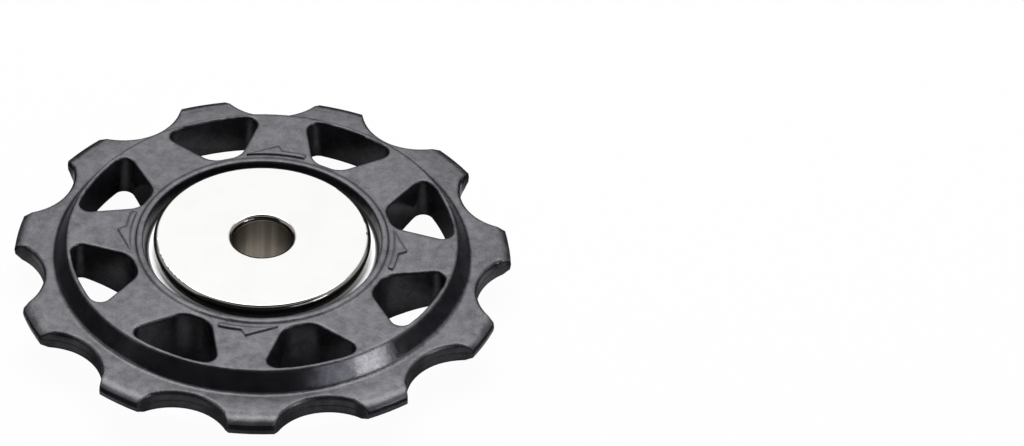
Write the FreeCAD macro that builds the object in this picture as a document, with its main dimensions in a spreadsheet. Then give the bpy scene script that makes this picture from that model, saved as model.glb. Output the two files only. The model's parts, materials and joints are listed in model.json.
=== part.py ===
import FreeCAD, Part
import Sketcher
import math
import os

# A jockey wheel for a derailleur cage: a moulded toothed wheel on a sealed ball bearing, with a steel bush
# and two pressed steel caps clamped by the cage screw. Millimetres and degrees, +Z along the axle, and the
# origin at the middle of the bore. The teeth guide a roller chain, so the pitch and the roller set them.

SIZES = {
    # Chain and teeth
    "chain_pitch": 12.7,
    "roller_diameter": 7.75,
    "tooth_count": 11,
    "tooth_height": 2.585,
    "tip_ridge": 0.08,
    "gullet_radius": 4.98,
    "gullet_bevel": 0.2,
    "tooth_thickness": 1.97,
    "tip_thickness": 0.96,
    "tip_bevel": 1.05,
    "tooth_shoulder_round": 1.4,
    "wheel_turn": 22.26,
    # Raised web of the upper face, and the dished lower face
    "web_height": 2.79,
    "web_edge_round": 0.14,
    "window_edge_round": 0.16,
    "rim_land": 0.92,
    "cone_run": 1.06,
    "cone_foot_round": 0.3,
    "lower_rim_height": 2.6,
    "lower_cone_width": 3.7,
    "lower_cone_round": 10,
    # Windows through the web
    "window_count": 8,
    "window_phase": -6.16,
    "window_outer_land": 0.33,
    "window_inner_land": 0.54,
    "window_side_angle": 35.5,
    "window_apex_drop": 1.81,
    "window_outer_corner": 0.95,
    # Collar and recess round the bearing
    "collar_height": 0.2,
    "collar_width": 0.5,
    "collar_slope": 0.14,
    "collar_edge_round": 0.1,
    "recess_gap": 0.4,
    "recess_foot_gap": 0.1,
    # Half arrows that mark the running direction
    "arrow_count": 4,
    "arrow_height": 0.18,
    "arrow_tail_angle": -12,
    "arrow_barb_angle": 0,
    "arrow_barb_back": 2,
    "arrow_tip_angle": 13.4,
    "arrow_gap": 0.44,
    "arrow_shaft_width": 0.44,
    "arrow_barb_reach": 1.12,
    # Ball bearing
    "bearing_radius": 9.8,
    "bearing_width": 3.74,
    "bearing_chamfer": 0.15,
    "bore_ring_radius": 4.0,
    "shoulder_offset": 0.7,
    "ball_diameter": 2.381,
    "ball_count": 10,
    "race_gap": 0.04,
    # Ribbon cage
    "cage_half_width": 0.48,
    "cage_thickness": 0.18,
    "pocket_gap": 0.04,
    "rivet_radius": 0.18,
    "rivet_head_radius": 0.36,
    "rivet_head_height": 0.12,
    # Seals
    "seal_outer_offset": 1.4,
    "seal_inner_offset": 1.2,
    "seal_depth": 0.35,
    "seal_thickness": 0.27,
    "seal_lip_gap": 0.05,
    # Bush and caps
    "bolt_bore_radius": 2.55,
    "bush_chamfer": 0.2,
    "cap_inset": 0.53,
    "overall_width": 6.66,
    "cap_thickness": 0.5,
    "cap_edge_round": 0.42,
    "cap_hole_round": 0.41,
    "cap_skirt_gap": 0.08,
}


class Size(float):
    """A number that also carries the sheet expression it comes from, so that a sum is written once."""

    def __new__(cls, value, text):
        size = super().__new__(cls, value)
        size.text = text
        return size

    def __add__(self, other):
        return Size(float(self) + float(other), f"({self.text} + {text_of(other)})")

    def __sub__(self, other):
        return Size(float(self) - float(other), f"({self.text} - {text_of(other)})")

    def __mul__(self, other):
        return Size(float(self) * float(other), f"({self.text} * {text_of(other)})")

    def __truediv__(self, other):
        return Size(float(self) / float(other), f"({self.text} / {text_of(other)})")

    def __neg__(self):
        return self * -1


def text_of(value):
    """The expression of a size, or the plain number as text."""
    return value.text if isinstance(value, Size) else repr(float(value))


def cosine(angle):
    return Size(math.cos(math.radians(angle)), f"cos({text_of(angle)} * 1deg)")


def sine(angle):
    return Size(math.sin(math.radians(angle)), f"sin({text_of(angle)} * 1deg)")


doc = FreeCAD.newDocument("JockeyWheel")
sheet = doc.addObject("Spreadsheet::Sheet", "Sizes")
size = {}
for row, (name, number) in enumerate(SIZES.items(), start=1):
    sheet.set(f"A{row}", name)
    sheet.set(f"B{row}", str(number))
    sheet.setAlias(f"B{row}", name)
    size[name] = Size(number, f"Sizes.{name}")
doc.recompute()

parts = []

# Sizes that follow from the driving ones
pitch_radius = size["chain_pitch"] / 2 / sine(Size(180, "180") / size["tooth_count"])
root_radius = pitch_radius - size["roller_diameter"] / 2
tip_radius = root_radius + size["tooth_height"]
tooth_half = size["tooth_thickness"] / 2
tip_half = size["tip_thickness"] / 2
collar_top = size["web_height"] + size["collar_height"]
recess_radius = size["bearing_radius"] + size["recess_gap"]
recess_foot_radius = size["bearing_radius"] + size["recess_foot_gap"]
collar_outside = recess_radius + size["collar_width"]
lower_cone_radius = collar_outside + size["lower_cone_width"]
cone_foot_radius = root_radius - size["rim_land"]
web_radius = cone_foot_radius - size["cone_run"]
bearing_half = size["bearing_width"] / 2
ball_circle_radius = (size["bearing_radius"] + size["bore_ring_radius"]) / 2
inner_shoulder_radius = ball_circle_radius - size["shoulder_offset"]
outer_shoulder_radius = ball_circle_radius + size["shoulder_offset"]
seal_track_radius = ball_circle_radius - size["seal_inner_offset"]
seal_seat_radius = ball_circle_radius + size["seal_outer_offset"]
seal_floor = bearing_half - size["seal_depth"]
ball_radius = size["ball_diameter"] / 2
race_radius = ball_radius + size["race_gap"]
pocket_radius = ball_radius + size["pocket_gap"]
dome_radius = pocket_radius + size["cage_thickness"]
cage_inner_radius = ball_circle_radius - size["cage_half_width"]
cage_outer_radius = ball_circle_radius + size["cage_half_width"]
cap_radius = size["bearing_radius"] - size["cap_inset"]
cap_top = size["overall_width"] / 2
cap_underside = cap_top - size["cap_thickness"]


def new_body(label):
    """A part design body that is written out as one sub-part."""
    body = doc.addObject("PartDesign::Body", label)
    body.Label = label
    parts.append(body)
    return body


def origin_feature(body, role):
    return next(item for item in body.Origin.OriginFeatures if item.Role == role)


def new_sketch(body, name, plane):
    sketch = body.newObject("Sketcher::SketchObject", name)
    sketch.AttachmentSupport = (origin_feature(body, plane), [""])
    sketch.MapMode = "FlatFace"
    return sketch


def bind(sketch, kind, where, value):
    """Adds a dimension and ties it to the sheet."""
    number = math.radians(value) if kind == "Angle" else float(value)
    index = sketch.addConstraint(Sketcher.Constraint(kind, *where, number))
    if isinstance(value, Size):
        sketch.setExpression(f"Constraints[{index}]", value.text)


def hold_point(sketch, element, end, across, up):
    """Holds one point of a sketch by its distances from the sketch's origin."""
    for kind, axis, value in (("DistanceX", -2, across), ("DistanceY", -1, up)):
        if value == 0:
            sketch.addConstraint(Sketcher.Constraint("PointOnObject", element, end, axis))
        else:
            bind(sketch, kind, (-1, 1, element, end), value)


def draw_outline(sketch, points):
    """Draws a closed outline of straight lines through the points."""
    corners = [FreeCAD.Vector(across, up, 0) for across, up in points]
    first = sketch.GeometryCount
    for number, start in enumerate(corners):
        sketch.addGeometry(Part.LineSegment(start, corners[(number + 1) % len(corners)]))
    for number, (across, up) in enumerate(points):
        before = first + (number - 1) % len(points)
        sketch.addConstraint(Sketcher.Constraint("Coincident", before, 2, first + number, 1))
        hold_point(sketch, first + number, 1, across, up)


def revolve(body, name, points):
    """Turns an outline of radius and height points about the axle."""
    sketch = new_sketch(body, f"{name}_outline", "XZ_Plane")
    draw_outline(sketch, points)
    feature = body.newObject("PartDesign::Revolution", name)
    feature.Profile = sketch
    feature.ReferenceAxis = (sketch, ["V_Axis"])
    feature.Angle = 360
    doc.recompute()
    return feature


def mirrored(upper):
    """Closes an outline whose lower side repeats the upper one."""
    return upper + [(radius, -height) for radius, height in reversed(upper) if height != 0]


def ring_edges(feature, rings):
    """Names of the feature's round edges about the axle with the given radii and heights."""
    names = []
    for number, edge in enumerate(feature.Shape.Edges, start=1):
        if not isinstance(edge.Curve, Part.Circle):
            continue
        for radius, height in rings:
            same_radius = math.isclose(edge.Curve.Radius, radius, abs_tol=1e-6)
            if same_radius and math.isclose(edge.Curve.Center.z, height, abs_tol=1e-6):
                names.append(f"Edge{number}")
    return names


def round_edges(body, name, feature, rings, radius):
    fillet = body.newObject("PartDesign::Fillet", name)
    fillet.Base = (feature, ring_edges(feature, rings))
    fillet.setExpression("Radius", radius.text)
    doc.recompute()
    return fillet


def both_sides(radius, height):
    return [(radius, height), (radius, -height)]


def repeat_round(body, name, feature, count):
    """Repeats a feature evenly round the axle."""
    pattern = body.newObject("PartDesign::PolarPattern", name)
    pattern.Originals = [feature]
    pattern.Axis = (origin_feature(body, "Z_Axis"), [""])
    pattern.Angle = 360
    pattern.setExpression("Occurrences", count.text)
    body.Tip = pattern
    doc.recompute()
    return pattern


def one_degree_turn():
    """A placement about the axle, whose angle an expression can then set."""
    return FreeCAD.Placement(FreeCAD.Vector(), FreeCAD.Rotation(FreeCAD.Vector(0, 0, 1), 1))


def turn_sketch(sketch, angle):
    """Turns a flat sketch about the axle."""
    sketch.AttachmentOffset = one_degree_turn()
    sketch.setExpression("AttachmentOffset.Rotation.Angle", f"{angle.text} * 1deg")


def wheel_blank(body):
    """The solid of revolution of the wheel: bearing seat, collar, raised web, toothed rim and dished back."""
    tip_edge = tip_radius - size["tip_ridge"]
    tooth_face_edge = tip_radius - size["tip_bevel"]
    web_height = size["web_height"]
    blank = revolve(body, "blank", [
        (tip_radius, 0),
        (tip_edge, tip_half),
        (tooth_face_edge, tooth_half),
        (cone_foot_radius, tooth_half),
        (web_radius, web_height),
        (collar_outside + size["collar_slope"], web_height),
        (collar_outside, collar_top),
        (recess_radius, collar_top),
        (recess_foot_radius, bearing_half),
        (size["bearing_radius"], bearing_half),
        (size["bearing_radius"], -bearing_half),
        (recess_foot_radius, -bearing_half),
        (recess_radius, -size["lower_rim_height"]),
        (collar_outside, -size["lower_rim_height"]),
        (lower_cone_radius, -tooth_half),
        (tooth_face_edge, -tooth_half),
        (tip_edge, -tip_half),
    ])
    soft = round_edges(body, "tooth_shoulder", blank, both_sides(tooth_face_edge, tooth_half),
                       size["tooth_shoulder_round"])
    soft = round_edges(body, "cone_foot", soft, [(cone_foot_radius, tooth_half)],
                       size["cone_foot_round"])
    soft = round_edges(body, "lower_cone_foot", soft, [(lower_cone_radius, -tooth_half)],
                       size["lower_cone_round"])
    soft = round_edges(body, "web_edge", soft, [(web_radius, web_height)], size["web_edge_round"])
    collar_edges = [(recess_radius, collar_top), (collar_outside, collar_top)]
    round_edges(body, "collar_edge", soft, collar_edges, size["collar_edge_round"])


def cut_gullets(body):
    """Cuts the round gullets that the chain rollers sit in, with a small bevel along both edges."""
    centre = root_radius + size["gullet_radius"]
    wall = centre - size["gullet_radius"]
    bevel_start = tooth_half - size["gullet_bevel"]
    over = size["gullet_bevel"] / 2
    sketch = new_sketch(body, "gullet_outline", "XZ_Plane")
    axis = Part.LineSegment(FreeCAD.Vector(centre, -1, 0), FreeCAD.Vector(centre, 1, 0))
    sketch.addGeometry(axis, True)
    sketch.addConstraint(Sketcher.Constraint("Vertical", 0))
    hold_point(sketch, 0, 1, centre, -tooth_half)
    bind(sketch, "DistanceY", (0, 1, 0, 2), tooth_half * 2)
    flared = wall - size["gullet_bevel"] - over
    upper = [(wall, bevel_start), (flared, tooth_half + over), (centre, tooth_half + over)]
    draw_outline(sketch, mirrored(upper))
    gullet = body.newObject("PartDesign::Groove", "gullet")
    gullet.Profile = sketch
    gullet.ReferenceAxis = (sketch, ["Axis0"])
    gullet.Angle = 360
    doc.recompute()
    repeat_round(body, "gullets", gullet, size["tooth_count"])


def corner_arc(centre, radius, start, end):
    circle = Part.Circle(centre, FreeCAD.Vector(0, 0, 1), radius)
    return Part.ArcOfCircle(circle, start, end)


def draw_window(sketch):
    """Draws one window about the sketch's X axis: two arcs about the axle, two sides and four round corners.

    The sides point at an apex on the X axis. Each corner's centre lies a corner radius inside its arc and
    its side, so its place along the side follows from where it stands.
    """
    side = math.radians(size["window_side_angle"])
    outer = web_radius - size["window_outer_land"]
    inner = collar_outside + size["window_inner_land"]
    apex = inner - size["window_apex_drop"]
    outer_corner = size["window_outer_corner"]
    inner_corner = (outer - inner) / 3

    def corner_centre(from_axle, corner):
        # a line parallel to the side and a corner radius inside it meets a circle about the axle
        offset = -float(apex) * math.sin(side) - float(corner)
        along = math.sqrt(float(from_axle) ** 2 - offset**2)
        return FreeCAD.Vector(
            along * math.cos(side) - offset * math.sin(side),
            along * math.sin(side) + offset * math.cos(side),
            0,
        )

    outer_centre = corner_centre(outer - outer_corner, outer_corner)
    inner_centre = corner_centre(inner + inner_corner, inner_corner)
    outer_angle = math.atan2(outer_centre.y, outer_centre.x)
    inner_angle = math.atan2(inner_centre.y, inner_centre.x)
    to_side = FreeCAD.Vector(-math.sin(side), math.cos(side), 0)
    flip = FreeCAD.Vector(1, -1, 1)

    def flipped(point):
        return FreeCAD.Vector(point.x * flip.x, point.y * flip.y, 0)

    outer_touch = outer_centre + to_side * float(outer_corner)
    inner_touch = inner_centre + to_side * float(inner_corner)
    origin = FreeCAD.Vector()
    side_normal = side + math.pi / 2
    sketch.addGeometry(
        [
            corner_arc(origin, outer, -outer_angle, outer_angle),
            corner_arc(outer_centre, outer_corner, outer_angle, side_normal),
            Part.LineSegment(outer_touch, inner_touch),
            corner_arc(inner_centre, inner_corner, side_normal, inner_angle + math.pi),
            corner_arc(origin, inner, -inner_angle, inner_angle),
            corner_arc(flipped(inner_centre), inner_corner, math.pi - inner_angle, -side_normal),
            Part.LineSegment(flipped(inner_touch), flipped(outer_touch)),
            corner_arc(flipped(outer_centre), outer_corner, -side_normal, -outer_angle),
        ]
    )
    joins = [(0, 2, 1, 1), (1, 2, 2, 1), (2, 2, 3, 1), (3, 2, 4, 2), (4, 1, 5, 1), (5, 2, 6, 1), (6, 2, 7, 1),
             (7, 2, 0, 1)]
    for join in joins:
        sketch.addConstraint(Sketcher.Constraint("Tangent", *join))
    for arc in (0, 4):
        sketch.addConstraint(Sketcher.Constraint("Coincident", arc, 3, -1, 1))
    arc_sizes = ((0, outer), (4, inner), (1, outer_corner), (7, outer_corner), (3, inner_corner),
                 (5, inner_corner))
    for arc, radius in arc_sizes:
        bind(sketch, "Radius", (arc,), radius)
    apex_point = sketch.addGeometry(Part.Point(FreeCAD.Vector(apex, 0, 0)), True)
    hold_point(sketch, apex_point, 1, apex, 0)
    for line in (2, 6):
        sketch.addConstraint(Sketcher.Constraint("PointOnObject", apex_point, 1, line))
    bind(sketch, "Angle", (-1, 1, 2, 2), size["window_side_angle"])
    bind(sketch, "Angle", (-1, 1, 6, 1), -size["window_side_angle"])


def window_rims(feature):
    """Names of the edges where the windows break through the flat of the web."""
    flat = float(size["web_height"])
    names = []
    for number, edge in enumerate(feature.Shape.Edges, start=1):
        box = edge.BoundBox
        level = math.isclose(box.ZMin, flat, abs_tol=1e-6) and math.isclose(box.ZMax, flat, abs_tol=1e-6)
        about_axle = isinstance(edge.Curve, Part.Circle) and edge.Closed
        if level and not about_axle:
            names.append(f"Edge{number}")
    return names


def cut_windows(body):
    sketch = new_sketch(body, "window_outline", "XY_Plane")
    draw_window(sketch)
    turn_sketch(sketch, size["window_phase"])
    window = body.newObject("PartDesign::Pocket", "window")
    window.Profile = sketch
    window.Type = "ThroughAll"
    window.SideType = "Symmetric"
    doc.recompute()
    windows = repeat_round(body, "windows", window, size["window_count"])
    rims = window_rims(windows)
    fillet = body.newObject("PartDesign::Fillet", "window_rims")
    fillet.Base = (windows, rims)
    fillet.setExpression("Radius", size["window_edge_round"].text)
    doc.recompute()


def draw_arrow(sketch):
    """Draws a half arrow along a circle about the axle: a curved shaft, a point and one barb outside."""
    inner = collar_outside + size["collar_slope"] + size["arrow_gap"]
    shaft = inner + size["arrow_shaft_width"]
    tail = size["arrow_tail_angle"]
    tip = size["arrow_tip_angle"]
    barb_back = size["arrow_barb_angle"] - size["arrow_barb_back"]

    def at(radius, angle):
        return (radius * cosine(angle), radius * sine(angle))

    corners = [at(inner, tip), at(inner + size["arrow_barb_reach"], size["arrow_barb_angle"]), at(shaft, barb_back),
               at(shaft, tail), at(inner, tail)]
    points = [FreeCAD.Vector(across, up, 0) for across, up in corners]
    origin = FreeCAD.Vector()
    sketch.addGeometry(
        [
            Part.LineSegment(points[0], points[1]),
            Part.LineSegment(points[1], points[2]),
            corner_arc(origin, shaft, math.radians(tail), math.radians(barb_back)),
            Part.LineSegment(points[3], points[4]),
            corner_arc(origin, inner, math.radians(tail), math.radians(tip)),
        ]
    )
    joins = [(0, 2, 1, 1), (1, 2, 2, 2), (2, 1, 3, 1), (3, 2, 4, 1), (4, 2, 0, 1)]
    for join in joins:
        sketch.addConstraint(Sketcher.Constraint("Coincident", *join))
    for arc in (2, 4):
        sketch.addConstraint(Sketcher.Constraint("Coincident", arc, 3, -1, 1))
    for element, end, corner in ((0, 1, 0), (1, 1, 1), (1, 2, 2)):
        hold_point(sketch, element, end, *corners[corner])
    bind(sketch, "DistanceY", (-1, 1, 3, 1), corners[3][1])
    bind(sketch, "DistanceY", (-1, 1, 3, 2), corners[4][1])


def add_arrows(body):
    """Raised half arrows on every second spoke of the upper face."""
    sketch = new_sketch(body, "arrow_outline", "XY_Plane")
    draw_arrow(sketch)
    spoke = size["window_phase"] - Size(180, "180") / size["window_count"]
    turn_sketch(sketch, spoke)
    sketch.setExpression("AttachmentOffset.Base.z", size["web_height"].text)
    arrow = body.newObject("PartDesign::Pad", "arrow")
    arrow.Profile = sketch
    arrow.setExpression("Length", size["arrow_height"].text)
    doc.recompute()
    repeat_round(body, "arrows", arrow, size["arrow_count"])


def toothed_wheel():
    body = new_body("toothed_wheel")
    wheel_blank(body)
    cut_gullets(body)
    cut_windows(body)
    add_arrows(body)
    body.Placement = one_degree_turn()
    body.setExpression("Placement.Rotation.Angle", f"{size['wheel_turn'].text} * 1deg")


def cut_race(body):
    """Cuts the ball track into a bearing ring."""
    sketch = new_sketch(body, "race_outline", "XZ_Plane")
    circle = Part.Circle(FreeCAD.Vector(ball_circle_radius, 0, 0), FreeCAD.Vector(0, 0, 1), race_radius)
    sketch.addGeometry(circle)
    hold_point(sketch, 0, 3, ball_circle_radius, 0)
    bind(sketch, "Radius", (0,), race_radius)
    race = body.newObject("PartDesign::Groove", "race")
    race.Profile = sketch
    race.ReferenceAxis = (sketch, ["V_Axis"])
    race.Angle = 360
    doc.recompute()


def bearing_outer_ring():
    """The outer ring, pressed into the wheel, with a seat for each seal."""
    body = new_body("bearing_outer_ring")
    outside = size["bearing_radius"]
    chamfer = size["bearing_chamfer"]
    upper = [
        (outside, bearing_half - chamfer),
        (outside - chamfer, bearing_half),
        (seal_seat_radius, bearing_half),
        (seal_seat_radius, seal_floor),
        (outer_shoulder_radius, seal_floor),
    ]
    revolve(body, "ring", mirrored(upper))
    cut_race(body)


def bearing_inner_ring():
    """The inner ring, pressed onto the bush, with a stepped track for each seal lip."""
    body = new_body("bearing_inner_ring")
    bore = size["bore_ring_radius"]
    chamfer = size["bearing_chamfer"]
    upper = [
        (inner_shoulder_radius, seal_floor),
        (seal_track_radius, seal_floor),
        (seal_track_radius, bearing_half),
        (bore + chamfer, bearing_half),
        (bore, bearing_half - chamfer),
    ]
    revolve(body, "ring", mirrored(upper))
    cut_race(body)


def seal(label, side):
    """A thin seal held by the outer ring; its lip runs just clear of the inner ring."""
    body = new_body(label)
    lip = seal_track_radius + size["seal_lip_gap"]
    outer_face = seal_floor + size["seal_thickness"]
    revolve(body, "seal_disc", [
        (lip, seal_floor * side),
        (seal_seat_radius, seal_floor * side),
        (seal_seat_radius, outer_face * side),
        (lip, outer_face * side),
    ])


def axle_bush():
    """The steel bush between the caps, bored for the cage screw."""
    body = new_body("axle_bush")
    bore = size["bolt_bore_radius"]
    chamfer = size["bush_chamfer"]
    upper = [
        (size["bore_ring_radius"], cap_underside - chamfer),
        (size["bore_ring_radius"] - chamfer, cap_underside),
        (bore, cap_underside),
    ]
    revolve(body, "bush", mirrored(upper))


def cap(label, side):
    """A pressed steel cap: a flat disc with a rounded screw hole and a skirt down over the bearing."""
    body = new_body(label)
    outside = cap_radius
    skirt_end = bearing_half + size["cap_skirt_gap"]
    cup = revolve(body, "cup", [
        (size["bolt_bore_radius"], cap_underside * side),
        (outside - size["cap_thickness"], cap_underside * side),
        (outside - size["cap_thickness"], skirt_end * side),
        (outside, skirt_end * side),
        (outside, cap_top * side),
        (size["bolt_bore_radius"], cap_top * side),
    ])
    rim = round_edges(body, "rim_round", cup, [(outside, cap_top * side)], size["cap_edge_round"])
    round_edges(body, "hole_round", rim, [(size["bolt_bore_radius"], cap_top * side)], size["cap_hole_round"])


def place_on_ball_circle(item, turn):
    """Stands an object on the ball circle at a number of ball spacings from the X axis."""
    angle = Size(360, "360") / size["ball_count"] * turn
    item.setExpression("Placement.Base.x", (ball_circle_radius * cosine(angle)).text)
    item.setExpression("Placement.Base.y", (ball_circle_radius * sine(angle)).text)


def sphere(name, radius, turn):
    item = doc.addObject("Part::Sphere", name)
    item.setExpression("Radius", radius.text)
    place_on_ball_circle(item, turn)
    return item


def post(name, radius, low, high, turn):
    """An upright cylinder on the ball circle between two heights."""
    item = doc.addObject("Part::Cylinder", name)
    item.setExpression("Radius", radius.text)
    item.setExpression("Height", (high - low).text)
    item.setExpression("Placement.Base.z", low.text)
    place_on_ball_circle(item, turn)
    return item


def band(name, height, side):
    """A flat ring as wide as the cage, from the middle plane to a height on one side."""
    tubes = []
    for edge, radius in (("outer", cage_outer_radius), ("inner", cage_inner_radius)):
        tube = doc.addObject("Part::Cylinder", f"{name}_{edge}")
        tube.setExpression("Radius", radius.text)
        tube.setExpression("Height", height.text)
        if side < 0:
            tube.setExpression("Placement.Base.z", (-height).text)
        tubes.append(tube)
    ring = doc.addObject("Part::Cut", name)
    ring.Base, ring.Tool = tubes
    return ring


def fuse(name, items):
    joined = doc.addObject("Part::MultiFuse", name)
    joined.Shapes = items
    return joined


def cage_half(label, side):
    """One pressed half of the ribbon cage: a flat ribbon with half a round pocket over each ball."""
    turns = range(int(size["ball_count"]))
    ribbon = band(f"{label}_ribbon", size["cage_thickness"], side)
    domes = [sphere(f"{label}_dome_{turn + 1}", dome_radius, turn) for turn in turns]
    envelope = band(f"{label}_envelope", dome_radius, side)
    pressed = doc.addObject("Part::Common", f"{label}_pressed")
    pressed.Base = fuse(f"{label}_sheet", [ribbon] + domes)
    pressed.Tool = envelope
    openings = [sphere(f"{label}_pocket_{turn + 1}", pocket_radius, turn) for turn in turns]
    reach = size["cage_thickness"] * 2
    for turn in turns:
        openings.append(post(f"{label}_hole_{turn + 1}", size["rivet_radius"], -reach, reach, turn + 0.5))
    half = doc.addObject("Part::Cut", label)
    half.Label = label
    half.Base = pressed
    half.Tool = fuse(f"{label}_openings", openings)
    parts.append(half)


def cage_rivets():
    """The rivets that hold the two halves of the cage together, one between each two balls."""
    sheet_face = size["cage_thickness"]
    head_top = sheet_face + size["rivet_head_height"]
    rivets = []
    for turn in range(int(size["ball_count"])):
        name = f"rivet_{turn + 1}"
        place = turn + 0.5
        shank = post(f"{name}_shank", size["rivet_radius"], -sheet_face, sheet_face, place)
        upper = post(f"{name}_upper", size["rivet_head_radius"], sheet_face, head_top, place)
        lower = post(f"{name}_lower", size["rivet_head_radius"], -head_top, -sheet_face, place)
        rivets.append(fuse(name, [shank, upper, lower]))
    group = doc.addObject("Part::Compound", "cage_rivets")
    group.Label = "cage_rivets"
    group.Links = rivets
    parts.append(group)


def balls():
    for turn in range(int(size["ball_count"])):
        ball = sphere(f"ball_{turn + 1:02d}", ball_radius, turn)
        ball.Label = f"ball_{turn + 1:02d}"
        parts.append(ball)


def check_document():
    """Stops if any object failed or any sub-part is empty or not valid."""
    for item in doc.Objects:
        if "Invalid" in item.State or "Error" in item.State:
            raise RuntimeError(f"{item.Name} failed: {item.State}")
    for item in parts:
        if item.Shape.isNull() or not item.Shape.isValid() or not item.Shape.Solids:
            raise RuntimeError(f"{item.Label} has no valid solid")


toothed_wheel()
bearing_outer_ring()
bearing_inner_ring()
seal("seal_upper", 1)
seal("seal_lower", -1)
axle_bush()
cap("cap_upper", 1)
cap("cap_lower", -1)
cage_half("cage_upper", 1)
cage_half("cage_lower", -1)
cage_rivets()
balls()

doc.recompute()
check_document()
os.makedirs("parts", exist_ok=True)
for item in parts:
    item.Shape.exportStep(os.path.join("parts", f"{item.Label}.step"))
    print(f"{item.Label}: {len(item.Shape.Solids)} solid(s), {item.Shape.Volume:.3f} mm3")
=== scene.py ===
import json
import math

import bpy
from mathutils import Matrix, Vector


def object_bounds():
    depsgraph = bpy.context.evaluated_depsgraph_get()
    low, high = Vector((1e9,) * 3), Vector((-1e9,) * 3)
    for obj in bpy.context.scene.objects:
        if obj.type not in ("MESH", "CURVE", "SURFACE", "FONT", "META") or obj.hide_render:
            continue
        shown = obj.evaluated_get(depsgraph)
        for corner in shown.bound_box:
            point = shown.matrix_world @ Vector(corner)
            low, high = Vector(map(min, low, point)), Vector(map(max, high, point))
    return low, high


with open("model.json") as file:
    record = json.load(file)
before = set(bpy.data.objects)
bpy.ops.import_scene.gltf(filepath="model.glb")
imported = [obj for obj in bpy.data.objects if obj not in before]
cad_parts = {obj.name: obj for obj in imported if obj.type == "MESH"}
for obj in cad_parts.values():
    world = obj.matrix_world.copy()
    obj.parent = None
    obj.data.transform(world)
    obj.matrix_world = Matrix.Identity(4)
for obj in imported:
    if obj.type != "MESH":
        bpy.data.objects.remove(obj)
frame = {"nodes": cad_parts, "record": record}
cad_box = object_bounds()

MM = 0.001

# The photo's frame, and how the wheel stands in it. The long lens gives its nearly parallel view.
IMAGE_WIDTH = 1024
IMAGE_HEIGHT = 446
SENSOR_WIDTH = 36.0
FOCAL_PIXELS = 16000.0
CLIP_START, CLIP_END = 0.01, 10.0
PIXELS_PER_MM = 11.72
VIEW_ELEVATION = 40.96
VIEW_ROLL = -0.28
# Where the middle of the bore stands in the frame, in pixels from its left and its top
BORE_PIXEL = (262.1, 265.6)


def radii_of(node_name):
    """How near a node comes to the axle and how far it reaches from it, in millimetres."""
    corners = [vertex.co for vertex in frame["nodes"][node_name].data.vertices]
    radii = [math.hypot(corner.x, corner.y) / MM for corner in corners]
    return min(radii), max(radii)


HOLE_RADIUS, CAP_RADIUS = radii_of("cap_upper")
BEARING_RADIUS, TIP_RADIUS = radii_of("toothed_wheel")
# Distances from the axle, in millimetres, between which a finish changes
# The cap's rounded edges between these radii are painted dark, as painted shade
CAP_HOLE_PAINTED_SHADE = (HOLE_RADIUS + 0.23, HOLE_RADIUS + 0.43)
CAP_RIM_PAINTED_SHADE = (CAP_RADIUS - 0.43, CAP_RADIUS - 0.27)
RECESS_WALL = (BEARING_RADIUS + 0.35, BEARING_RADIUS + 0.5)
FOOT_START = (TIP_RADIUS - 4.05, TIP_RADIUS - 3.75)
FOOT_END = (TIP_RADIUS - 3.2, TIP_RADIUS - 2.95)
TEETH_FROM = TIP_RADIUS - 3.25
TEETH_DULLER = (TIP_RADIUS - 3.25, TIP_RADIUS - 1.75)
TEETH_RUN_IN = (TIP_RADIUS - 2.45, TIP_RADIUS - 0.85)
TEETH_RUN_OUT = (TIP_RADIUS - 1.35, TIP_RADIUS - 0.25)

# How far the parting line reaches above and below the middle of a tooth, in millimetres
SEAM_REACH = 0.05
# How far shading rounds the edges, in millimetres
NYLON_EDGE = 0.38
STEEL_EDGE = 0.12
EDGE_SAMPLES = 6
# Cosines of the angles between which a face counts as steep or flat, and a place as edge or face
STEEP_TO_FLAT = (0.6, 0.95)
EDGE_TO_FACE = (0.86, 0.995)

# Each set of hair scratches, with its turn in degrees and its grain along each axis
SCRATCHES = ((24.0, (22.0, 0.7, 6.0)), (-63.0, (26.0, 0.9, 6.0)), (80.0, (18.0, 0.5, 6.0)))

# Colours as linear red, green and blue
NYLON_DARK = (0.010, 0.009, 0.012)
NYLON_PALE = (0.019, 0.0175, 0.022)
# Painted highlight colour for the upper edges of the nylon
NYLON_EDGE_HIGHLIGHT = (0.075, 0.072, 0.080)
NYLON_SHEEN = (0.945, 0.93, 1.0, 1.0)
RUBBER_DARK = (0.016, 0.013, 0.011)
RUBBER_DUSTY = (0.030, 0.026, 0.022)
PAPER_DARK = (0.92, 0.92, 0.92)
PAPER_PALE = (0.94, 0.94, 0.94)
SKY_LIGHT = (0.27, 0.27, 0.275)
WHITE = (1.0, 1.0, 1.0)
COOL_WHITE = (0.86, 0.93, 1.0)

# The studio, in metres
LAMP_DISTANCE = 0.30
WALL_DISTANCE = 0.36
WALL_TONE = 0.045
FLOOR_REACH = 3.0
FLOOR_WHITENESS = 0.965
CEILING_HEIGHT = 0.40
RING_CLEARANCE = 0.00002


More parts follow.
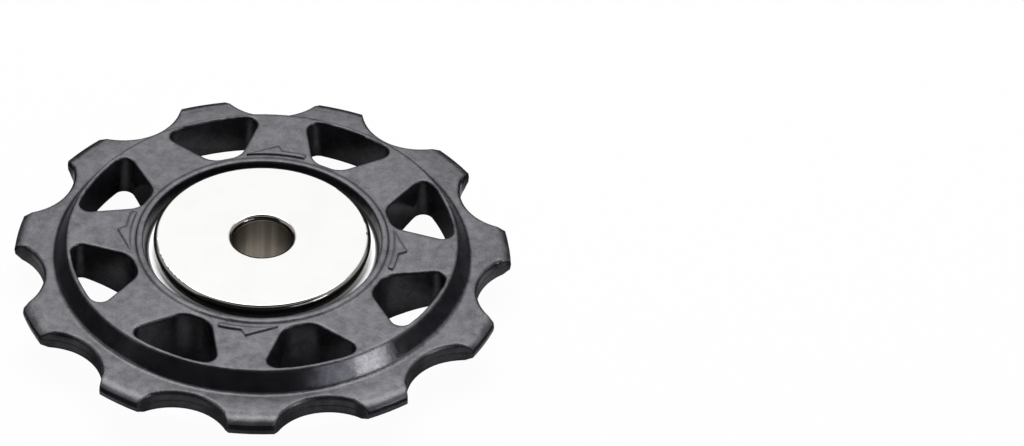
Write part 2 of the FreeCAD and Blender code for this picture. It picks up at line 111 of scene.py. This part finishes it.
class Nodes:
    """A node tree, with short ways to add and join its nodes."""

    def __init__(self, tree):
        self.tree = tree
        self.tree.nodes.clear()

    def add(self, kind, inputs=None, **settings):
        """Adds a node, and gives each input its value or joins it to the output that stands for it."""
        node = self.tree.nodes.new(kind)
        for name, value in settings.items():
            setattr(node, name, value)
        for name, value in (inputs or {}).items():
            socket = node.inputs[name]
            if isinstance(value, bpy.types.NodeSocket):
                self.tree.links.new(value, socket)
            else:
                socket.default_value = value
        return node

    def math(self, operation, first, second=0.0, clamp=False):
        node = self.add("ShaderNodeMath", {0: first, 1: second}, operation=operation, use_clamp=clamp)
        return node.outputs[0]

    def plus(self, total, *others):
        for other in others:
            total = self.math("ADD", total, other)
        return total

    def times(self, product, *others):
        for other in others:
            product = self.math("MULTIPLY", product, other)
        return product

    def parts_of(self, vector):
        node = self.add("ShaderNodeSeparateXYZ", {0: vector})
        return node.outputs[0], node.outputs[1], node.outputs[2]

    def millimetres(self):
        """The object's own coordinates in millimetres."""
        place = self.add("ShaderNodeTexCoord").outputs["Object"]
        scaled = self.add("ShaderNodeVectorMath", {0: place, 1: (1 / MM,) * 3}, operation="MULTIPLY")
        return scaled.outputs[0]

    def radius_of(self, place):
        """Distance from the axle."""
        across, along, _ = self.parts_of(place)
        return self.math("SQRT", self.plus(self.times(across, across), self.times(along, along)))

    def height_of(self, place):
        """Height over the wheel's middle plane."""
        return self.parts_of(place)[2]

    def stretch(self, vector, factors, turn=0.0):
        """Coordinates scaled along each axis, and turned about Z by some degrees."""
        node = self.add(
            "ShaderNodeMapping",
            {"Vector": vector, "Scale": factors, "Rotation": (0.0, 0.0, math.radians(turn))},
        )
        return node.outputs[0]

    def noise(self, vector, scale, detail=3.0, roughness=0.5):
        """Noise between 0 and 1, with its grain's count to the millimetre as the scale."""
        node = self.add(
            "ShaderNodeTexNoise",
            {"Vector": vector, "Scale": scale, "Detail": detail, "Roughness": roughness},
        )
        return node.outputs[0]

    def line_noise(self, value, scale):
        """Noise along one value, for turned and drawn lines."""
        node = self.add(
            "ShaderNodeTexNoise",
            {"W": value, "Scale": scale, "Detail": 3.0, "Roughness": 0.6},
            noise_dimensions="1D",
        )
        return node.outputs[0]

    def spread(self, value, low, high, start=0.3, end=0.7):
        """Maps start to end smoothly to low to high. Most of a noise lies between 0.3 and 0.7."""
        node = self.add(
            "ShaderNodeMapRange",
            {"Value": value, "From Min": start, "From Max": end, "To Min": low, "To Max": high},
            interpolation_type="SMOOTHSTEP",
        )
        return node.outputs[0]

    def blend_colours(self, factor, first, second):
        """The first colour where the factor is 0 and the second where it is 1."""
        colours = [
            colour if isinstance(colour, bpy.types.NodeSocket) else (*colour, 1.0)
            for colour in (first, second)
        ]
        node = self.add("ShaderNodeMix", {0: factor, 6: colours[0], 7: colours[1]}, data_type="RGBA")
        return node.outputs[2]

    def own_normal(self):
        return self.add("ShaderNodeNewGeometry").outputs["Normal"]

    def rounded_normal(self, radius_mm):
        """The surface's normal, with its edges rounded."""
        return self.add("ShaderNodeBevel", {"Radius": radius_mm * MM}, samples=EDGE_SAMPLES).outputs[0]

    def lying(self):
        """1 on faces that lie flat and 0 on steep ones."""
        upward = self.math("ABSOLUTE", self.height_of(self.own_normal()))
        return self.spread(upward, 0.0, 1.0, *STEEP_TO_FLAT)

    def edges(self, rounded):
        """1 beside an edge and 0 away from it, found where the rounded normal leaves the face's own."""
        likeness = self.add(
            "ShaderNodeVectorMath", {0: rounded, 1: self.own_normal()}, operation="DOT_PRODUCT"
        )
        return self.spread(likeness.outputs["Value"], 1.0, 0.0, *EDGE_TO_FACE)

    def bump(self, height, depth_mm, strength=1.0, under=None):
        """The normal of a surface with a relief on it, or on the normal that lies under it."""
        inputs = {"Height": height, "Distance": depth_mm * MM, "Strength": strength}
        if under is not None:
            inputs["Normal"] = under
        return self.add("ShaderNodeBump", inputs).outputs[0]

    def surface(self, **inputs):
        """Adds the surface shader and joins it to the output."""
        named = {name.replace("_", " "): value for name, value in inputs.items()}
        self.output(self.add("ShaderNodeBsdfPrincipled", named))

    def output(self, shader, kind="ShaderNodeOutputMaterial"):
        self.add(kind, {"Surface": shader.outputs[0]})


def new_nodes(name):
    material = bpy.data.materials.new(name)
    material.use_nodes = True
    return material, Nodes(material.node_tree)


def moulded_nylon():
    """Matt near-black moulding: cloudy tone, painted highlights on its upper edges, fine spark-eroded
    grain and a parting line on the teeth.
    """
    material, nodes = new_nodes("moulded_nylon")
    place = nodes.millimetres()
    radius = nodes.radius_of(place)
    clouds = nodes.noise(place, scale=0.35, detail=4.0, roughness=0.6)
    blotches = nodes.noise(place, scale=1.1, detail=3.0, roughness=0.6)
    flecks = nodes.noise(place, scale=5.0, detail=2.0)
    grain = nodes.noise(place, scale=14.0, detail=3.0, roughness=0.6)
    rounded = nodes.rounded_normal(NYLON_EDGE)
    lying = nodes.lying()

    tone = nodes.plus(nodes.times(clouds, 0.5), nodes.times(flecks, 0.2), nodes.times(blotches, 0.3))
    colour = nodes.blend_colours(nodes.spread(tone, 0.0, 1.0), NYLON_DARK, NYLON_PALE)
    # Painted highlight: the upper edges are painted pale, as if catching light, but not the hollow
    # corner at the foot of the teeth
    beside_foot = nodes.plus(
        nodes.spread(radius, 1.0, 0.0, *FOOT_START),
        nodes.spread(radius, 0.0, 1.0, *FOOT_END),
    )
    painted_edge_highlight = nodes.times(nodes.edges(rounded), lying, nodes.spread(flecks, 0.7, 1.0), beside_foot)
    # Painted highlight: the edge mask blends the colour towards the pale edge colour
    colour = nodes.blend_colours(painted_edge_highlight, colour, NYLON_EDGE_HIGHLIGHT)

    sheen = nodes.plus(
        nodes.spread(clouds, 0.78, 1.04),
        nodes.spread(blotches, -0.20, 0.20),
        nodes.spread(flecks, -0.12, 0.12),
    )
    # It is duller inside the recess, and a little so on the teeth
    sheen = nodes.times(
        sheen,
        nodes.spread(radius, 0.35, 1.0, *RECESS_WALL),
        nodes.spread(radius, 1.0, 0.92, *TEETH_DULLER),
    )
    gloss = nodes.plus(nodes.spread(clouds, 0.29, 0.35), nodes.spread(blotches, -0.03, 0.03))
    # The steep faces, which slide out of the mould, are smoother
    gloss = nodes.times(gloss, nodes.spread(lying, 0.6, 1.0, 0.0, 1.0))

    # The tooth faces run out to their tips in a soft curve
    run_out = nodes.plus(
        nodes.spread(radius, 0.03, 0.0, *TEETH_RUN_IN),
        nodes.spread(radius, 0.0, 0.21, *TEETH_RUN_OUT),
    )
    relief = nodes.bump(run_out, depth_mm=1.0, under=rounded)
    swells = nodes.noise(place, scale=0.6, detail=2.0)
    relief = nodes.bump(swells, depth_mm=0.06, strength=0.5, under=relief)
    relief = nodes.bump(grain, depth_mm=0.007, strength=0.5, under=relief)
    off_middle = nodes.math("ABSOLUTE", nodes.height_of(place))
    seam = nodes.math("SUBTRACT", 1.0, nodes.math("DIVIDE", off_middle, SEAM_REACH), clamp=True)
    seam = nodes.times(seam, nodes.math("GREATER_THAN", radius, TEETH_FROM))
    relief = nodes.bump(seam, depth_mm=0.02, strength=0.8, under=relief)
    nodes.surface(
        Base_Color=colour,
        Roughness=gloss,
        Specular_IOR_Level=sheen,
        Specular_Tint=NYLON_SHEEN,
        Normal=relief,
    )
    return material


def metal(name, light, dark, roughness, finish="plain", scratch_depth=0.0008):
    """A steel surface with a clouded tone, uneven gloss and crossed hair scratches.

    A turned one has lines round the axle and a drawn one along it. A pressed one has painted shade:
    its rounded edges at the hole and the rim are painted dark, and only its flat face keeps the light
    tone.
    """
    material, nodes = new_nodes(name)
    place = nodes.millimetres()
    clouds = nodes.noise(place, scale=0.3, detail=4.0, roughness=0.55)
    tone = nodes.spread(clouds, 0.0, 1.0)
    streaks = [
        nodes.noise(nodes.stretch(place, factors, turn), scale=1.0, detail=2.0)
        for turn, factors in SCRATCHES
    ]
    scratches = nodes.times(*streaks)
    gloss = nodes.plus(
        nodes.spread(clouds, *roughness),
        nodes.spread(scratches, -0.015, 0.02, 0.05, 0.25),
    )
    relief = nodes.bump(scratches, depth_mm=scratch_depth, under=nodes.rounded_normal(STEEL_EDGE))
    if finish == "turned":
        lines = nodes.line_noise(nodes.radius_of(place), scale=9.0)
        relief = nodes.bump(lines, depth_mm=0.0015, strength=0.6, under=relief)
    elif finish == "drawn":
        bands = nodes.noise(nodes.stretch(place, (1.5, 1.5, 0.05)), scale=1.0)
        tone = nodes.spread(bands, 0.0, 1.0, 0.35, 0.72)
        lines = nodes.line_noise(nodes.height_of(place), scale=5.0)
        relief = nodes.bump(lines, depth_mm=0.004, strength=0.6, under=relief)
    elif finish == "pressed":
        radius = nodes.radius_of(place)
        # Painted shade: the rounded edges at the hole and at the rim are painted dark
        tone = nodes.times(
            nodes.spread(clouds, 0.94, 1.0),
            nodes.spread(radius, 0.0, 1.0, *CAP_HOLE_PAINTED_SHADE),
            nodes.spread(radius, 1.0, 0.0, *CAP_RIM_PAINTED_SHADE),
        )
    colour = nodes.blend_colours(tone, dark, light)
    nodes.surface(Base_Color=colour, Roughness=gloss, Metallic=1.0, Normal=relief)
    return material


def seal_rubber():
    """Brown-black moulded rubber with a soft dusty tone."""
    material, nodes = new_nodes("seal_rubber")
    place = nodes.millimetres()
    clouds = nodes.noise(place, scale=0.8, detail=4.0, roughness=0.6)
    colour = nodes.blend_colours(nodes.spread(clouds, 0.0, 1.0), RUBBER_DARK, RUBBER_DUSTY)
    relief = nodes.bump(nodes.noise(place, scale=9.0), depth_mm=0.006, strength=0.6)
    nodes.surface(Base_Color=colour, Roughness=nodes.spread(clouds, 0.48, 0.62), Normal=relief)
    return material


FINISHES = {
    "moulded_nylon": moulded_nylon(),
    "polished_steel": metal(
        "polished_steel",
        light=(0.43, 0.43, 0.425),
        # Painted shade: the cap's rounded edges take this dark colour
        dark=(0.22, 0.212, 0.20),
        roughness=(0.10, 0.15),
        finish="pressed",
    ),
    "bearing_steel": metal(
        "bearing_steel",
        light=(0.82, 0.82, 0.82),
        dark=(0.75, 0.75, 0.75),
        roughness=(0.56, 0.64),
        finish="turned",
    ),
    "bush_steel": metal(
        "bush_steel",
        light=(0.26, 0.233, 0.195),
        dark=(0.16, 0.143, 0.12),
        roughness=(0.34, 0.44),
        finish="drawn",
        scratch_depth=0.002,
    ),
    "cage_steel": metal(
        "cage_steel",
        light=(0.55, 0.54, 0.52),
        dark=(0.45, 0.44, 0.42),
        roughness=(0.28, 0.38),
    ),
    "ball_steel": metal(
        "ball_steel",
        light=(0.66, 0.66, 0.67),
        dark=(0.60, 0.60, 0.61),
        roughness=(0.05, 0.09),
        scratch_depth=0.0002,
    ),
    "seal_rubber": seal_rubber(),
}

for row in frame["record"]["subparts"]:
    node = frame["nodes"][row["node"]]
    for slot in node.material_slots:
        slot.material = FINISHES[row["material_slot"]]


def look_at(place, target):
    """A rotation that points an object's -Z from its place to the target."""
    return (Vector(target) - Vector(place)).to_track_quat("-Z", "Y")


def direction(azimuth, elevation=0.0):
    """From the wheel's middle: azimuth 0 is away from the camera and 90 to its right, in degrees."""
    turn, rise = math.radians(azimuth), math.radians(elevation)
    return Vector((math.sin(turn) * math.cos(rise), math.cos(turn) * math.cos(rise), math.sin(rise)))


def new_object(name, data):
    """An object made from its data and linked to the scene."""
    made = bpy.data.objects.new(name, data)
    bpy.context.scene.collection.objects.link(made)
    return made


def add_camera():
    data = bpy.data.cameras.new("camera")
    data.sensor_fit = "HORIZONTAL"
    data.sensor_width = SENSOR_WIDTH
    data.lens = FOCAL_PIXELS / IMAGE_WIDTH * SENSOR_WIDTH
    data.clip_start, data.clip_end = CLIP_START, CLIP_END
    camera = new_object("camera", data)
    place = direction(180.0, VIEW_ELEVATION) * (FOCAL_PIXELS / PIXELS_PER_MM * MM)
    turn = look_at(place, (0, 0, 0)) @ Matrix.Rotation(math.radians(-VIEW_ROLL), 3, "Z").to_quaternion()
    # The middle of the frame looks past the wheel, so that its bore stands at its own pixel
    to_right = math.atan((IMAGE_WIDTH / 2 - BORE_PIXEL[0]) / FOCAL_PIXELS)
    to_top = math.atan((BORE_PIXEL[1] - IMAGE_HEIGHT / 2) / FOCAL_PIXELS)
    turn = turn @ Matrix.Rotation(-to_right, 3, "Y").to_quaternion()
    turn = turn @ Matrix.Rotation(to_top, 3, "X").to_quaternion()
    camera.rotation_mode = "QUATERNION"
    camera.location = place
    camera.rotation_quaternion = turn
    bpy.context.scene.camera = camera


def add_soft_box(name, azimuth, elevation, width, height, radiance, tint=WHITE):
    """A rectangular lamp that faces the wheel. Its radiance is 1 for the white of the picture."""
    data = bpy.data.lights.new(name, "AREA")
    data.shape = "RECTANGLE"
    data.size, data.size_y = width, height
    data.energy = radiance * math.pi * width * height
    data.color = tint
    lamp = new_object(name, data)
    lamp.location = direction(azimuth, elevation) * LAMP_DISTANCE
    lamp.rotation_mode = "QUATERNION"
    lamp.rotation_quaternion = look_at(lamp.location, (0, 0, 0))
    lamp.visible_camera = False


def background_rays(nodes):
    """1 for the rays that see the background: the camera's own, mirrored and passed ones."""
    path = nodes.add("ShaderNodeLightPath")
    seen = nodes.math("MAXIMUM", path.outputs["Is Camera Ray"], path.outputs["Is Glossy Ray"])
    return nodes.math("MAXIMUM", seen, path.outputs["Is Transmission Ray"])


def set_world():
    world = bpy.data.worlds.new("studio")
    bpy.context.scene.world = world
    world.use_nodes = True
    nodes = Nodes(world.node_tree)
    colour = nodes.blend_colours(background_rays(nodes), SKY_LIGHT, WHITE)
    sky = nodes.add("ShaderNodeBackground", {"Color": colour, "Strength": 1.0})
    nodes.output(sky, "ShaderNodeOutputWorld")


def add_floor():
    """White paper under the wheel, which takes its shadow."""
    low = cad_box[0].z
    corners = [(x * FLOOR_REACH, y * FLOOR_REACH, low) for x, y in ((-1, -1), (1, -1), (1, 1), (-1, 1))]
    mesh = bpy.data.meshes.new("floor")
    mesh.from_pydata(corners, [], [(0, 1, 2, 3)])
    floor = new_object("floor", mesh)
    material, nodes = new_nodes("floor_paper")
    grain = nodes.noise(nodes.millimetres(), scale=0.8, detail=2.0)
    colour = nodes.blend_colours(nodes.spread(grain, 0.0, 1.0), PAPER_DARK, PAPER_PALE)
    paper = nodes.add("ShaderNodeBsdfDiffuse", {"Color": colour})
    white = nodes.add("ShaderNodeEmission", {"Color": (*WHITE, 1.0), "Strength": 1.0})
    seen = nodes.times(background_rays(nodes), FLOOR_WHITENESS)
    nodes.output(nodes.add("ShaderNodeMixShader", {0: seen, 1: paper.outputs[0], 2: white.outputs[0]}))
    mesh.materials.append(material)


def add_dark_card(name, corners, faces, tone):
    """A dark sheet out of the camera's sight, which the wheel mirrors: a cloth wall, or a ring of
    painted reflection.
    """
    mesh = bpy.data.meshes.new(name)
    mesh.from_pydata(corners, [], faces)
    card = new_object(name, mesh)
    card.visible_camera = False
    material, nodes = new_nodes(name)
    clouds = nodes.noise(nodes.millimetres(), scale=0.5)
    colour = nodes.blend_colours(clouds, (tone,) * 3, (1.4 * tone,) * 3)
    nodes.output(nodes.add("ShaderNodeBsdfDiffuse", {"Color": colour}))
    mesh.materials.append(material)
    return card


def add_dark_wall(name, first, last, height):
    """A curved dark wall that stands on the floor from the first to the last azimuth."""
    steps = 24
    low = cad_box[0].z
    corners = []
    for step in range(steps + 1):
        foot = direction(first + (last - first) * step / steps) * WALL_DISTANCE
        corners += [(foot.x, foot.y, low), (foot.x, foot.y, low + height)]
    faces = [(at, at + 2, at + 3, at + 1) for at in range(0, 2 * steps, 2)]
    add_dark_card(name, corners, faces, WALL_TONE)


def add_painted_reflection_ring(name, inner, outer, tone, above):
    """A level dark ring round the axle, a painted reflection of shade. Only mirrored rays see it, so it
    leaves the floor white.
    """
    steps = 48
    level = cad_box[0].z + above
    corners = []
    for step in range(steps):
        way = direction(360.0 * step / steps)
        corners += [(way.x * inner, way.y * inner, level), (way.x * outer, way.y * outer, level)]
    count = len(corners)
    faces = [(at, at + 1, (at + 3) % count, (at + 2) % count) for at in range(0, count, 2)]
    ring = add_dark_card(name, corners, faces, tone)
    ring.visible_diffuse = False
    ring.visible_shadow = False


add_camera()
set_world()
add_floor()

# The flat faces mirror the back lamp to the camera, and the cone round the web the two right ones
add_soft_box("back_soft_box", azimuth=0.0, elevation=45.0, width=0.26, height=0.17, radiance=1.25)
add_soft_box("upper_soft_box", azimuth=0.0, elevation=68.0, width=0.28, height=0.10, radiance=7.0)
add_soft_box("right_soft_box", azimuth=123.5, elevation=14.0, width=0.08, height=0.07, radiance=8.0)
add_soft_box(
    "near_right_soft_box",
    azimuth=142.0,
    elevation=14.0,
    width=0.10,
    height=0.08,
    radiance=1.9,
    tint=COOL_WHITE,
)

# The steep faces mirror the walls and the rings of painted reflection on the floor, and the bevels of
# the near tips the ceiling, a ring of painted reflection too
add_dark_wall("back_wall", first=-50.0, last=50.0, height=0.19)
add_dark_wall("right_wall", first=50.0, last=115.0, height=0.10)
add_dark_wall("front_wall", first=115.0, last=245.0, height=0.50)
add_dark_wall("left_wall", first=245.0, last=310.0, height=0.10)
# Painted reflection: these rings show shaded floor and a dark ceiling to mirrored rays only
add_painted_reflection_ring("near_painted_reflection_ring", inner=0.006, outer=0.024, tone=0.38, above=RING_CLEARANCE)
add_painted_reflection_ring("far_painted_reflection_ring", inner=0.024, outer=0.35, tone=0.02, above=RING_CLEARANCE)
add_painted_reflection_ring("ceiling", inner=0.001, outer=0.16, tone=0.06, above=CEILING_HEIGHT)
bpy.context.scene.view_settings.view_transform = "Standard"
